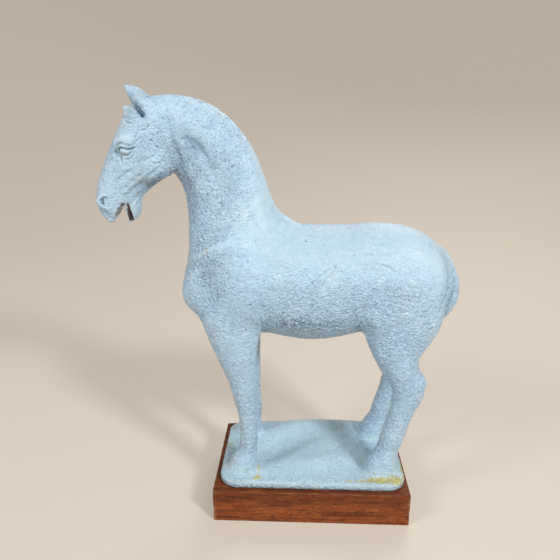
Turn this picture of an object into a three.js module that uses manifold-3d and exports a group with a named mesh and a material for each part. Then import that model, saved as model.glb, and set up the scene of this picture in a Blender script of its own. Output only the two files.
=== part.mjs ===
// A standing horse with its neck arched and its mouth open, cast in one with the patch of
// ground under its hooves, and fixed on a block of wood.
// Millimetres, +Z up. The origin is the middle of the block's underside, and the horse faces -X.
import * as THREE from "three";
import { mergeVertices } from "three/addons/utils/BufferGeometryUtils.js";
import Module from "manifold-3d";

// Driving dimensions. The horse's stations further down are in the same frame.
const PLINTH = { length: 250, width: 160, height: 45, worn_edge: 1.6 };
const BEDDING_GAP = 0.3;
const GROUND = {
  centre_x: 1.2, length: 238.5, width: 146, rim_height: 9, corner_radius: 24, rim_round: 3.5, leg_fillet: 7,
};

// The horse's skin is looked for in this space, on a finer grid round the head. The ground runs
// on a little below its underside, where it is then cut flat.
const SPACE = { front: -277, rear: 194, side: 80, top: 542, below_ground: 9 };
const HEAD = { rear: -186, side: 32, bottom: 364 };
const SPARE_BELOW = 7;
const BODY_GRID = 3.2;
const HEAD_GRID = 1.8;
const HORSE_TRIANGLES = 9200;

// How much finer than the body the head and the ground's underside stay when faces are thinned out
const HEAD_IMPORTANCE = 10;
const RIM_IMPORTANCE = 3;

const GROUND_BOTTOM = PLINTH.height + BEDDING_GAP;
const GROUND_RIM = GROUND_BOTTOM + GROUND.rim_height;

// Fields. Each is a function of a point that is negative inside the form and about a distance
// in millimetres near its skin. Paired forms are stated once, for the side with y above 0.

// A smooth rounded limb through stations [x, z, half depth, half width, y]. Half depth is
// measured across the limb in side view and half width along Y.
function limb(stations, spans = 4) {
  const places = new THREE.CatmullRomCurve3(
    stations.map(([x, z, , , y = 0]) => new THREE.Vector3(x, y, z)), false, "centripetal");
  const sizes = new THREE.CatmullRomCurve3(
    stations.map(([, , depth, width]) => new THREE.Vector3(depth, width, 0)), false, "catmullrom");
  const steps = (stations.length - 1) * spans;
  const rings = Array.from({ length: steps + 1 }, (_, i) => {
    const place = places.getPoint(i / steps);
    const size = sizes.getPoint(i / steps);
    return { x: place.x, y: place.y, z: place.z, depth: size.x, width: size.y };
  });
  const box = new THREE.Box3();
  for (const r of rings) {
    const reach = Math.max(r.depth, r.width);
    box.expandByPoint(new THREE.Vector3(r.x - reach, r.y - reach, r.z - reach));
    box.expandByPoint(new THREE.Vector3(r.x + reach, r.y + reach, r.z + reach));
  }
  const distance = (x, y, z) => {
    let nearest = Infinity;
    for (let i = 0; i < steps; i++) {
      const a = rings[i];
      const b = rings[i + 1];
      const dx = b.x - a.x;
      const dz = b.z - a.z;
      const along = ((x - a.x) * dx + (z - a.z) * dz) / (dx * dx + dz * dz);
      const t = Math.min(1, Math.max(0, along));
      const depth = a.depth + t * (b.depth - a.depth);
      const width = a.width + t * (b.width - a.width);
      const side = Math.hypot(x - a.x - t * dx, z - a.z - t * dz);
      nearest = Math.min(nearest, ellipseDistance(side, y - a.y - t * (b.y - a.y), depth, width));
    }
    return nearest;
  };
  return { box, distance };
}

// About the distance from a point to an ellipse with half axes a and b.
function ellipseDistance(u, v, a, b) {
  const k = Math.hypot(u / a, v / b);
  const slope = Math.hypot(u / (a * a), v / (b * b));
  return slope > 1e-9 ? (k * (k - 1)) / slope : -Math.min(a, b);
}

// An ellipsoid of muscle or bone: half sizes [long, wide, deep], its long axis turned by tilt
// degrees from +X towards +Z.
function mass([x0, y0, z0], [long, wide, deep], tilt = 0) {
  const c = Math.cos(THREE.MathUtils.degToRad(tilt));
  const s = Math.sin(THREE.MathUtils.degToRad(tilt));
  const reach = Math.max(long, wide, deep);
  const centre = new THREE.Vector3(x0, y0, z0);
  const box = new THREE.Box3().setFromCenterAndSize(centre, new THREE.Vector3().setScalar(2 * reach));
  const distance = (x, y, z) => {
    const u = c * (x - x0) + s * (z - z0);
    const w = c * (z - z0) - s * (x - x0);
    const v = y - y0;
    const k = Math.hypot(u / long, v / wide, w / deep);
    const slope = Math.hypot(u / (long * long), v / (wide * wide), w / (deep * deep));
    return slope > 1e-9 ? (k * (k - 1)) / slope : -Math.min(long, wide, deep);
  };
  return { box, distance };
}

// A block with rounded edges, tilted in side view like a mass.
function block([x0, y0, z0], [long, wide, deep], tilt, round) {
  const c = Math.cos(THREE.MathUtils.degToRad(tilt));
  const s = Math.sin(THREE.MathUtils.degToRad(tilt));
  const reach = Math.hypot(long, wide, deep);
  const centre = new THREE.Vector3(x0, y0, z0);
  const box = new THREE.Box3().setFromCenterAndSize(centre, new THREE.Vector3().setScalar(2 * reach));
  const distance = (x, y, z) => {
    const u = Math.abs(c * (x - x0) + s * (z - z0)) - long + round;
    const w = Math.abs(c * (z - z0) - s * (x - x0)) - deep + round;
    const v = Math.abs(y - y0) - wide + round;
    const outside = Math.hypot(Math.max(u, 0), Math.max(v, 0), Math.max(w, 0));
    return outside + Math.min(Math.max(u, v, w), 0) - round;
  };
  return { box, distance };
}

// Two fields run into each other with a fillet about as wide as blend.
function melt(a, b, blend) {
  const h = Math.max(blend - Math.abs(a - b), 0) / blend;
  return Math.min(a, b) - h * h * blend * 0.25;
}

const carve = (a, b, blend) => -melt(-a, b, blend);

// The body's forms in the order they are built up, each with the fillet that joins it on.
const BUILT_UP = [
  // Barrel, from the breast to the croup
  [0, limb([
    [-118, 294, 45, 42], [-85, 299, 62, 49], [-45, 302, 70, 55], [0, 299, 73.5, 57],
    [42, 304, 69, 57], [74, 309, 66.5, 56], [101, 310, 61.5, 53], [120, 304, 51, 47],
  ], 6)],
  // Neck, from the shoulders to the poll
  [20, limb([
    [-91, 330, 65, 43], [-100, 372, 55, 34], [-107.5, 408, 49, 29], [-121, 443, 45.5, 27],
    [-145, 468, 42, 25.5], [-171, 481, 38.5, 24], [-190, 487, 33, 22],
  ], 6)],
  // Cropped mane, a low ridge along the crest
  [6, limb([
    [-194, 511, 8, 6], [-168, 514.5, 8, 7], [-133, 507.5, 8, 7], [-105, 488.5, 8, 7],
    [-83, 459, 8, 7], [-70.5, 425, 8, 7], [-60, 398, 7, 6.5], [-48, 384, 6, 6], [-26, 370, 5, 6],
  ], 6)],
  // Head, from the forehead to the muzzle
  [9, limb([
    [-200, 478, 32.5, 23], [-209.5, 459.5, 33.5, 24], [-222.5, 438.5, 30.5, 21], [-235, 420.5, 26.5, 18],
    [-244, 405, 22.5, 16], [-248.5, 392, 16, 15], [-249.5, 377, 4.4, 10],
  ], 6)],
  // Cheek, chin and lower lip
  [6, mass([-190, 13, 446], [27, 12.5, 20.5], 27)],
  [3, limb([
    [-186, 439, 12, 11], [-199, 429.5, 11, 12], [-208.5, 419, 8.5, 11.5], [-216, 408, 6.5, 10.5],
    [-221.5, 396, 9.8, 10.5], [-223, 386, 8.6, 9.5], [-227, 374.5, 1.8, 5],
  ])],
  // Shoulder and breast
  [16, mass([-92, 30, 302], [32, 26, 46], 12)],
  [12, mass([-135, 21, 290], [27, 19, 27])],
  // Foreleg, from the arm to the pastern
  [9, limb([
    [-102, 262, 38, 24, 28], [-99, 236, 30.5, 20, 31.5], [-95, 210, 23.7, 17, 35], [-89, 182, 17.5, 15, 37],
    [-86.5, 160, 15, 14.5, 38], [-83.3, 135, 11.6, 12.5, 39], [-81.8, 112, 11, 12, 40],
    [-81.5, 97, 11.5, 12.5, 40.5], [-82.5, 84, 11.2, 12, 41],
  ], 6)],
  // Fore hoof
  [4, limb([[-83.5, 80, 11, 12, 41], [-87.5, 66, 16.5, 16, 42], [-90, 50, 20, 18.5, 42]])],
  // Haunch, thigh and hind leg
  [9, limb([
    [105, 302, 56, 28, 28], [106, 266, 48.5, 25, 31], [102.5, 238, 36, 21, 33.5],
    [104, 212, 25.5, 17.5, 36], [112, 192, 21, 15, 37], [119.5, 174, 20.5, 14, 38],
    [118, 160, 18.5, 13.5, 38.5], [113, 143, 15.5, 12.5, 39], [107.5, 122, 14.5, 12.5, 40],
    [102.5, 103, 15, 13.5, 40.5], [98.5, 88, 13.5, 13, 41],
  ], 6)],
  // Point of the hock
  [6, mass([131, 38, 181], [11, 8, 9], 60)],
  // Hind hoof
  [5, limb([[96, 82, 13.5, 13.5, 41], [91.5, 66, 19, 17, 42], [89.5, 50, 22, 19, 42]])],
  // Fold of the flank in front of the thigh
  [12, mass([75, 36, 272], [18, 16, 20], 60)],
  // Tail, short and pressed between the buttocks
  [4, limb([
    [144, 344, 7, 7], [152.5, 338.5, 8, 8], [161, 328, 8, 9], [168, 313.5, 8, 9.5], [171.5, 300, 8.5, 10],
    [172, 285, 8.5, 10], [167.5, 269, 8, 9], [160.5, 257, 5.5, 7],
  ])],
  // Ear
  [5, limb([
    [-190, 499, 9, 8, 12], [-197, 507, 9.4, 7.5, 12], [-205, 516, 8.8, 6.5, 11.5],
    [-213, 525.5, 6.2, 4.5, 10.5], [-218, 530.5, 2.6, 2.6, 9.5],
  ], 6)],
  // Forelock, cut off square above the forehead
  [0.8, block([-206.5, 0, 500], [16.5, 11.5, 11], 3, 1.6)],
  // Brow ridge, upper lid and eyeball
  [7, limb([[-231, 469, 4, 4, 14], [-222, 473, 4, 4, 18], [-209, 471, 4, 4, 20]])],
  [1.2, mass([-221, 21.5, 461], [7, 4.5, 4.5], -15)],
  [1.2, limb([
    [-230.5, 463, 1.2, 2, 19], [-223, 467.5, 1.4, 2.4, 23.5], [-214, 465.5, 1.3, 2.2, 24],
    [-206, 470, 1, 1.6, 23],
  ])],
  // Wing of the nostril
  [4, mass([-254, 12, 398], [9, 5.5, 11], 20)],
];

// What is cut back out of the built-up form, each with the softness of its edge.
const CARVED = [
  // Mouth, open right through
  [1.5, limb([[-231.5, 397, 1.8, 40], [-236, 385, 5.2, 40], [-240.5, 366, 10, 40]])],
  // Nostril
  [1.5, limb([[-257, 396, 1.6, 3, 19], [-254, 402, 2.2, 4, 18], [-250.5, 403, 1.5, 3, 18]])],
  // Hollow of the ear
  [1.2, limb([
    [-198, 500, 3.6, 5, 17], [-204.5, 506.5, 3.2, 5, 16.5], [-211.5, 512, 2.4, 4, 15],
    [-217, 521, 1.6, 3, 12.5], [-220, 528, 1, 1.5, 10],
  ])],
  // Cleft between the two halves of the breast
  [8, mass([-172, 0, 290], [9, 3, 34], 8)],
  // Groove between jaw and neck
  [8, mass([-162, 34, 455], [8, 10, 26], 15)],
  // Furrow down the side of the neck
  [10, mass([-140, 40, 440], [32, 13, 8], -38)],
];

// Low mounds and hollows in the modelled ground: [x, y, height, half length, half width, turn
// in degrees].
const MOUNDS = [
  [8, -28, 6, 46, 18, 14], [-38, 42, 5.5, 48, 20, 24], [40, 64, 6.5, 62, 17, -4], [-30, 2, -3, 48, 9, 44],
  [54, -4, -3, 32, 10, -62], [-92, -40, 2.5, 30, 26, 0], [92, -40, 2.5, 30, 26, 0], [88, 44, 2.5, 32, 28, 0],
];

// The modelled ground: a rounded rectangle whose top swells in the mounds.
function groundDistance(x, y, z) {
  let top = GROUND_RIM;
  for (const [x0, y0, height, long, wide, turn] of MOUNDS) {
    const c = Math.cos(THREE.MathUtils.degToRad(turn));
    const s = Math.sin(THREE.MathUtils.degToRad(turn));
    const along = (c * (x - x0) + s * (y - y0)) / long;
    const across = (c * (y - y0) - s * (x - x0)) / wide;
    top += height * Math.exp(-along * along - across * across);
  }
  const u = Math.abs(x - GROUND.centre_x) - GROUND.length / 2 + GROUND.corner_radius;
  const v = Math.abs(y) - GROUND.width / 2 + GROUND.corner_radius;
  const outline = Math.hypot(Math.max(u, 0), Math.max(v, 0)) + Math.min(Math.max(u, v), 0)
    - GROUND.corner_radius;
  return carve(outline, top - z, GROUND.rim_round);
}

// Forms further away than this have no say in the field, so they aren't asked.
const REACH = 30;

function near({ box }, x, y, z) {
  return x > box.min.x - REACH && x < box.max.x + REACH
    && y > box.min.y - REACH && y < box.max.y + REACH
    && z > box.min.z - REACH && z < box.max.z + REACH;
}

function horseDistance(x, y, z) {
  const side = Math.abs(y);
  let d = REACH;
  for (const [blend, form] of BUILT_UP) {
    if (!near(form, x, side, z)) continue;
    const part = form.distance(x, side, z);
    d = blend ? melt(d, part, blend) : Math.min(d, part);
  }
  for (const [blend, form] of CARVED) {
    if (near(form, x, side, z)) d = carve(d, form.distance(x, side, z), blend);
  }
  return melt(d, groundDistance(x, y, z), GROUND.leg_fillet);
}

// Grid lines from low to high, with one step below the limit and another above it.
function gridLines(low, limit, high, stepBelow, stepAbove) {
  const below = Math.round((limit - low) / stepBelow);
  const above = Math.round((high - limit) / stepAbove);
  return [
    ...Array.from({ length: below }, (_, i) => low + (i * (limit - low)) / below),
    ...Array.from({ length: above + 1 }, (_, i) => limit + (i * (high - limit)) / above),
  ];
}

const ALWAYS_ASKED_WITHIN = 2.5 * BODY_GRID;
const LEAST_VALUE = 1e-3;

// The skin where a field is zero, as marching tetrahedra between the grid lines.
function skinOf(field, lines) {
  const count = lines.map((l) => l.length);
  const at = (i, j, k) => i + count[0] * (j + count[1] * k);
  const values = new Float64Array(count[0] * count[1] * count[2]);
  for (let k = 0; k < count[2]; k++)
    for (let j = 0; j < count[1]; j++) {
      let value = 0;
      let sure = -Infinity;
      for (let i = 0; i < count[0]; i++) {
        // Well away from the skin the field isn't asked again until it could matter.
        if (lines[0][i] > sure) {
          value = field(lines[0][i], lines[1][j], lines[2][k]);
          sure = lines[0][i] + 0.5 * Math.abs(value) - ALWAYS_ASKED_WITHIN;
        }
        values[at(i, j, k)] = Math.abs(value) < LEAST_VALUE ? LEAST_VALUE : value;
      }
    }
  const points = [];
  const triangles = [];
  const made = new Map();
  const place = (n) => [
    lines[0][n % count[0]],
    lines[1][Math.floor(n / count[0]) % count[1]],
    lines[2][Math.floor(n / (count[0] * count[1]))],
  ];
  const crossing = (a, b) => {
    const key = a < b ? a * values.length + b : b * values.length + a;
    if (!made.has(key)) {
      const t = values[a] / (values[a] - values[b]);
      const [p, q] = [place(a), place(b)];
      made.set(key, points.length / 3);
      points.push(...p.map((v, n) => v + t * (q[n] - v)));
    }
    return made.get(key);
  };
  // Six tetrahedra round each cube's long diagonal, from corner 0 to corner 7.
  const paths = [[1, 3], [3, 2], [2, 6], [6, 4], [4, 5], [5, 1]];
  for (let k = 0; k < count[2] - 1; k++)
    for (let j = 0; j < count[1] - 1; j++)
      for (let i = 0; i < count[0] - 1; i++) {
        const corners = [0, 1, 2, 3, 4, 5, 6, 7].map(
          (n) => at(i + (n & 1), j + ((n >> 1) & 1), k + (n >> 2)));
        const inside = corners.filter((n) => values[n] < 0).length;
        if (inside === 0 || inside === 8) continue;
        for (const [m, n] of paths) cutTetrahedron([corners[0], corners[m], corners[n], corners[7]]);
      }
  function cutTetrahedron(tet) {
    const ins = [0, 1, 2, 3].filter((n) => values[tet[n]] < 0);
    const outs = [0, 1, 2, 3].filter((n) => values[tet[n]] >= 0);
    if (!ins.length || !outs.length) return;
    // An even permutation of the corners keeps the faces turned outwards.
    const order = [...ins, ...outs];
    let swaps = 0;
    for (let a = 0; a < 4; a++) swaps += order.slice(a + 1).filter((n) => n < order[a]).length;
    const [a, b, c, d] = order.map((n) => tet[n]);
    const faces = ins.length === 1
      ? [[crossing(a, b), crossing(a, c), crossing(a, d)]]
      : ins.length === 3
        ? [[crossing(d, a), crossing(d, b), crossing(d, c)]]
        : [
          [crossing(a, c), crossing(a, d), crossing(b, d)],
          [crossing(a, c), crossing(b, d), crossing(b, c)],
        ];
    for (const [p, q, r] of faces) triangles.push(...(swaps % 2 ? [p, r, q] : [p, q, r]));
  }
  return { points, triangles };
}

const LEAST_DETERMINANT = 1e-4;
const LEAST_TURN_COSINE = 0.3;
const LENGTH_CHARGE = 1e-3;

// Thins a closed mesh by collapsing the edges that matter least to its shape, by the summed
// squared distances to the planes of the faces around them.
function thin({ points, triangles }, target, importance) {
  const count = points.length / 3;
  const quadrics = new Float64Array(count * 10);
  const faces = Array.from({ length: count }, () => []);
  const stamp = new Uint32Array(count);
  const alive = new Uint8Array(triangles.length / 3).fill(1);
  const point = (v) => [points[3 * v], points[3 * v + 1], points[3 * v + 2]];
  const normal = (p, q, r) => {
    const [a, b, c] = [q[0] - p[0], q[1] - p[1], q[2] - p[2]];
    const [d, e, f] = [r[0] - p[0], r[1] - p[1], r[2] - p[2]];
    return [b * f - c * e, c * d - a * f, a * e - b * d];
  };
  for (let f = 0; f < alive.length; f++) {
    const corners = triangles.slice(3 * f, 3 * f + 3);
    const [p, q, r] = corners.map(point);
    const n = normal(p, q, r);
    const size = Math.hypot(...n) || 1e-12;
    const [a, b, c] = n.map((v) => v / size);
    const d = -(a * p[0] + b * p[1] + c * p[2]);
    const weight = size * importance(...p);
    const terms = [a * a, a * b, a * c, a * d, b * b, b * c, b * d, c * c, c * d, d * d];
    for (const v of corners) {
      faces[v].push(f);
      terms.forEach((t, k) => (quadrics[10 * v + k] += weight * t));
    }
  }
  const cost = (u, v, [x, y, z]) => {
    const q = (k) => quadrics[10 * u + k] + quadrics[10 * v + k];
    return x * x * q(0) + 2 * x * y * q(1) + 2 * x * z * q(2) + 2 * x * q(3) + y * y * q(4)
      + 2 * y * z * q(5) + 2 * y * q(6) + z * z * q(7) + 2 * z * q(8) + q(9);
  };
  // The best place for the merged point, or the better of three points on the edge.
  const merged = (u, v) => {
    const q = (k) => quadrics[10 * u + k] + quadrics[10 * v + k];
    const m = new THREE.Matrix3(q(0), q(1), q(2), q(1), q(4), q(5), q(2), q(5), q(7));
    const [p, r] = [point(u), point(v)];
    const middle = p.map((value, k) => (value + r[k]) / 2);
    const length = Math.hypot(p[0] - r[0], p[1] - r[1], p[2] - r[2]);
    const trace = q(0) + q(4) + q(7);
    if (Math.abs(m.determinant()) > LEAST_DETERMINANT * trace * trace * trace) {
      const best = new THREE.Vector3(-q(3), -q(6), -q(8)).applyMatrix3(m.invert()).toArray();
      if (Math.hypot(...best.map((value, k) => value - middle[k])) < length) return best;
    }
    return [middle, p, r].reduce((x, y) => (cost(u, v, y) < cost(u, v, x) ? y : x));
  };
  const heap = [];
  const push = (entry) => {
    let i = heap.push(entry) - 1;
    while (i > 0) {
      const parent = (i - 1) >> 1;
      if (heap[parent].cost <= heap[i].cost) break;
      [heap[parent], heap[i]] = [heap[i], heap[parent]];
      i = parent;
    }
  };
  const pop = () => {
    const first = heap[0];
    const last = heap.pop();
    if (heap.length) {
      heap[0] = last;
      let i = 0;
      for (;;) {
        let least = i;
        for (const child of [2 * i + 1, 2 * i + 2])
          if (child < heap.length && heap[child].cost < heap[least].cost) least = child;
        if (least === i) break;
        [heap[least], heap[i]] = [heap[i], heap[least]];
        i = least;
      }
    }
    return first;
  };
  const offer = (u, v) => {
    const to = merged(u, v);
    // A small charge on length keeps flat places evenly meshed.
    const [p, r] = [point(u), point(v)];
    const length = Math.hypot(p[0] - r[0], p[1] - r[1], p[2] - r[2]);
    push({ u, v, to, stamp: stamp[u] + stamp[v], cost: cost(u, v, to) + LENGTH_CHARGE * length ** 3 });
  };
  const neighbours = (v) => {
    const found = new Set();
    for (const f of faces[v]) triangles.slice(3 * f, 3 * f + 3).forEach((n) => found.add(n));
    found.delete(v);
    return found;
  };
  for (let f = 0; f < alive.length; f++)
    for (let k = 0; k < 3; k++) {
      const [u, v] = [triangles[3 * f + k], triangles[3 * f + ((k + 1) % 3)]];
      if (u < v) offer(u, v);
    }
  const turnsOver = (v, other, to) => faces[v].some((f) => {
    const corners = [0, 1, 2].map((k) => triangles[3 * f + k]);
    if (corners.includes(other)) return false;
    const before = normal(...corners.map(point));
    const after = normal(...corners.map((c) => (c === v ? to : point(c))));
    const cosine = (before[0] * after[0] + before[1] * after[1] + before[2] * after[2])
      / (Math.hypot(...before) * Math.hypot(...after) + 1e-12);
    return cosine < LEAST_TURN_COSINE;
  });
  let left = alive.length;
  while (left > target && heap.length) {
    const { u, v, to, stamp: when } = pop();
    if (when !== stamp[u] + stamp[v] || !faces[u].length || !faces[v].length) continue;
    const common = [...neighbours(u)].filter((n) => neighbours(v).has(n));
    if (common.length !== 2 || turnsOver(u, v, to) || turnsOver(v, u, to)) continue;
    for (const f of faces[v]) {
      const corners = [0, 1, 2].map((k) => triangles[3 * f + k]);
      if (corners.includes(u)) {
        alive[f] = 0;
        left--;
      } else {
        triangles[3 * f + corners.indexOf(v)] = u;
        faces[u].push(f);
      }
    }
    faces[v] = [];
    faces[u] = faces[u].filter((f) => alive[f]);
    for (const n of common) faces[n] = faces[n].filter((f) => alive[f]);
    for (let k = 0; k < 3; k++) points[3 * u + k] = to[k];
    for (let k = 0; k < 10; k++) quadrics[10 * u + k] += quadrics[10 * v + k];
    stamp[u]++;
    stamp[v]++;
    for (const n of neighbours(u)) offer(u, n);
  }
  return { points, triangles: triangles.filter((_, i) => alive[Math.floor(i / 3)]) };
}

// Solids to cut with, and back to a geometry that three.js can draw.
const wasm = await Module();
wasm.setup();

function solidOf(geometry) {
  const plain = geometry.index ? geometry.toNonIndexed() : geometry.clone();
  const others = Object.keys(plain.attributes).filter((name) => name !== "position");
  others.forEach((name) => plain.deleteAttribute(name));
  const merged = mergeVertices(plain, 1e-4);
  return new wasm.Manifold(new wasm.Mesh({
    numProp: 3,
    vertProperties: merged.attributes.position.array,
    triVerts: new Uint32Array(merged.index.array),
  }));
}

function geometryOf(solid) {
  const { vertProperties, triVerts } = solid.getMesh();
  const geometry = new THREE.BufferGeometry();
  geometry.setAttribute("position", new THREE.BufferAttribute(vertProperties, 3));
  geometry.setIndex(new THREE.BufferAttribute(triVerts, 1));
  return geometry;
}

// The cast horse, with the underside of its ground cut flat where it lies on the block.
function horseGeometry() {
  const sides = gridLines(0, HEAD.side, SPACE.side, HEAD_GRID, BODY_GRID);
  const uncut = (x, y, z) => Math.max(horseDistance(x, y, z), GROUND_BOTTOM - SPARE_BELOW - z);
  const skin = skinOf(uncut, [
    gridLines(SPACE.front, HEAD.rear, SPACE.rear, HEAD_GRID, BODY_GRID),
    [...sides.slice(1).reverse().map((y) => -y), ...sides],
    gridLines(GROUND_BOTTOM - SPACE.below_ground, HEAD.bottom, SPACE.top, BODY_GRID, HEAD_GRID),
  ]);
  const importance = (x, y, z) => {
    if (x < HEAD.rear && z > HEAD.bottom) return HEAD_IMPORTANCE;
    return z < GROUND_RIM ? RIM_IMPORTANCE : 1;
  };
  const thinned = thin(skin, HORSE_TRIANGLES, importance);
  const rough = new THREE.BufferGeometry();
  rough.setAttribute("position", new THREE.Float32BufferAttribute(thinned.points, 3));
  rough.setIndex(thinned.triangles);
  const cutter = new THREE.BoxGeometry(2 * GROUND.length, 2 * GROUND.width, GROUND_BOTTOM)
    .translate(0, 0, GROUND_BOTTOM / 2);
  return geometryOf(solidOf(rough).subtract(solidOf(cutter)));
}

// The wooden block, its edges a little worn.
function plinthGeometry() {
  const { length, width, height, worn_edge: edge } = PLINTH;
  const [x, y] = [length / 2 - edge, width / 2 - edge];
  const corners = [[-x, -y], [x, -y], [x, y], [-x, y]];
  const outline = new THREE.Shape(corners.map((p) => new THREE.Vector2(...p)));
  return new THREE.ExtrudeGeometry(outline, {
    depth: height - 2 * edge, bevelThickness: edge, bevelSize: edge, bevelSegments: 2,
  }).translate(0, 0, edge);
}

function part(name, geometry, material) {
  const mesh = new THREE.Mesh(geometry, material);
  mesh.name = name;
  geometry.computeVertexNormals();
  return mesh;
}

const bluePaint = new THREE.MeshStandardMaterial({ color: 0xa9c6d3, roughness: 0.55, metalness: 0 });
const brownWood = new THREE.MeshStandardMaterial({ color: 0x7d4426, roughness: 0.6, metalness: 0 });

const sculpture = new THREE.Group();
sculpture.add(part("wood_plinth", plinthGeometry(), brownWood));
sculpture.add(part("horse", horseGeometry(), bluePaint));

export default sculpture;
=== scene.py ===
import math

import bmesh
import bpy
import numpy as np
from mathutils import Matrix, Vector


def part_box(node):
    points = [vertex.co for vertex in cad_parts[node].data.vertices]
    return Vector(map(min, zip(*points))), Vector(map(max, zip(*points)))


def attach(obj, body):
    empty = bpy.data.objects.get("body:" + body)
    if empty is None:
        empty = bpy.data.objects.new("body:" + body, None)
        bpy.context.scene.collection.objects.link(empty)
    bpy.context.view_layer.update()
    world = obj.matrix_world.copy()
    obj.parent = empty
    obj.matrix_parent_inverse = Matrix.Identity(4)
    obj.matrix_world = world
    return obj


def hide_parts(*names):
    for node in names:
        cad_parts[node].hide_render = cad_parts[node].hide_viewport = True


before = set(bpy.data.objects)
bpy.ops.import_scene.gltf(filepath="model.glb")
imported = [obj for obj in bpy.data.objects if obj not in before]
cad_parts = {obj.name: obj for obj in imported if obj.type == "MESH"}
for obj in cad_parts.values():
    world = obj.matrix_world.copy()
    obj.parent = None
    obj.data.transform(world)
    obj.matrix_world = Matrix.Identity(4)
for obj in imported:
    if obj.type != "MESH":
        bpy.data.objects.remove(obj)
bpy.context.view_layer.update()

# The horse
# A standing horse and the patch of ground under its hooves, cast in one of a material that the
# paint hides. Its skin was brushed while it was soft, which left short wrinkles, and was then
# painted pale powder blue. Tables are in millimetres in side view, and the horse faces -X.
MM = 0.001
MERGE_DISTANCE = 0.02 * MM
SKIN_VOXEL = 0.95 * MM
HORSE_TRIANGLES = 194000
FACET_SMOOTHING = 12
SHRINK_THEN_SWELL = (0.55, -0.57)
GROUND_TOP = 62

# The head, whose forms are finer: where its mesh is split, and where its care sets in
HEAD_REAR = -178
HEAD_BOTTOM = 358
FINE_FORWARD = (-170, -190)
FINE_UPWARD = (355, 370)
FINE_KEPT = 0.35
EYE = (-221, 461)
NOSTRIL = (-253, 400)


def link(piece):
    bpy.context.scene.collection.objects.link(piece)
    return piece


def points_of(mesh):
    flat = np.empty(3 * len(mesh.vertices), np.float32)
    mesh.vertices.foreach_get("co", flat)
    return flat.reshape(-1, 3).astype(float)


def normals_of(mesh):
    flat = np.empty(3 * len(mesh.vertices), np.float32)
    mesh.vertex_normals.foreach_get("vector", flat)
    return flat.reshape(-1, 3).astype(float)


def move_points(mesh, points):
    mesh.vertices.foreach_set("co", points.astype(np.float32).ravel())
    mesh.update()


def edges_of(mesh):
    flat = np.empty(2 * len(mesh.edges), np.int32)
    mesh.edges.foreach_get("vertices", flat)
    return flat.reshape(-1, 2)


def neighbour_mean(values, edges):
    """The mean of each point's neighbours' values."""
    a, b = edges.T
    ends = np.r_[a, b]
    count = np.bincount(ends, minlength=len(values)).clip(1)
    total = [np.bincount(ends, np.r_[column[b], column[a]], len(values)) for column in values.T]
    return np.stack(total, 1) / count[:, None]


def evened(points, edges, rounds, share):
    """Points with small bumps evened out, shrunk and swelled by turns so that forms stay."""
    for _ in range(rounds):
        for pull in SHRINK_THEN_SWELL:
            points = points + pull * share[:, None] * (neighbour_mean(points, edges) - points)
    return points


def with_modifier(piece, kind, **settings):
    """Runs one modifier on a piece and keeps its result as the piece's plain mesh."""
    modifier = piece.modifiers.new("made", kind)
    for name, value in settings.items():
        setattr(modifier, name, value)
    return settled(piece)


def settled(piece):
    graph = bpy.context.evaluated_depsgraph_get()
    made = bpy.data.meshes.new_from_object(piece.evaluated_get(graph))
    piece.modifiers.clear()
    piece.data = made
    return piece


def merged_copy(node, name):
    shell = bmesh.new()
    shell.from_mesh(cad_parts[node].data)
    bmesh.ops.remove_doubles(shell, verts=shell.verts, dist=MERGE_DISTANCE)
    mesh = bpy.data.meshes.new(name)
    shell.to_mesh(mesh)
    shell.free()
    return link(bpy.data.objects.new(name, mesh))


def ramp(value, low, high):
    """0 below low, 1 above high and smooth between, also where high is the lower one."""
    t = ((value - low) / (high - low)).clip(0, 1)
    return t * t * (3 - 2 * t)


def line_distance(x, z, line):
    """How far points are from a broken line in side view, and how far along it they are, 0 to 1."""
    line = np.array(line, float)
    spans = np.diff(line, axis=0)
    lengths = np.hypot(*spans.T)
    done = np.r_[0, np.cumsum(lengths)]
    best = np.full(len(x), 1e9)
    along = np.zeros(len(x))
    for (x0, z0), (dx, dz), length, before in zip(line, spans, lengths, done):
        t = (((x - x0) * dx + (z - z0) * dz) / length ** 2).clip(0, 1)
        far = np.hypot(x - x0 - t * dx, z - z0 - t * dz)
        nearer = far < best
        best = np.where(nearer, far, best)
        along = np.where(nearer, (before + t * length) / done[-1], along)
    return best, along


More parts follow.
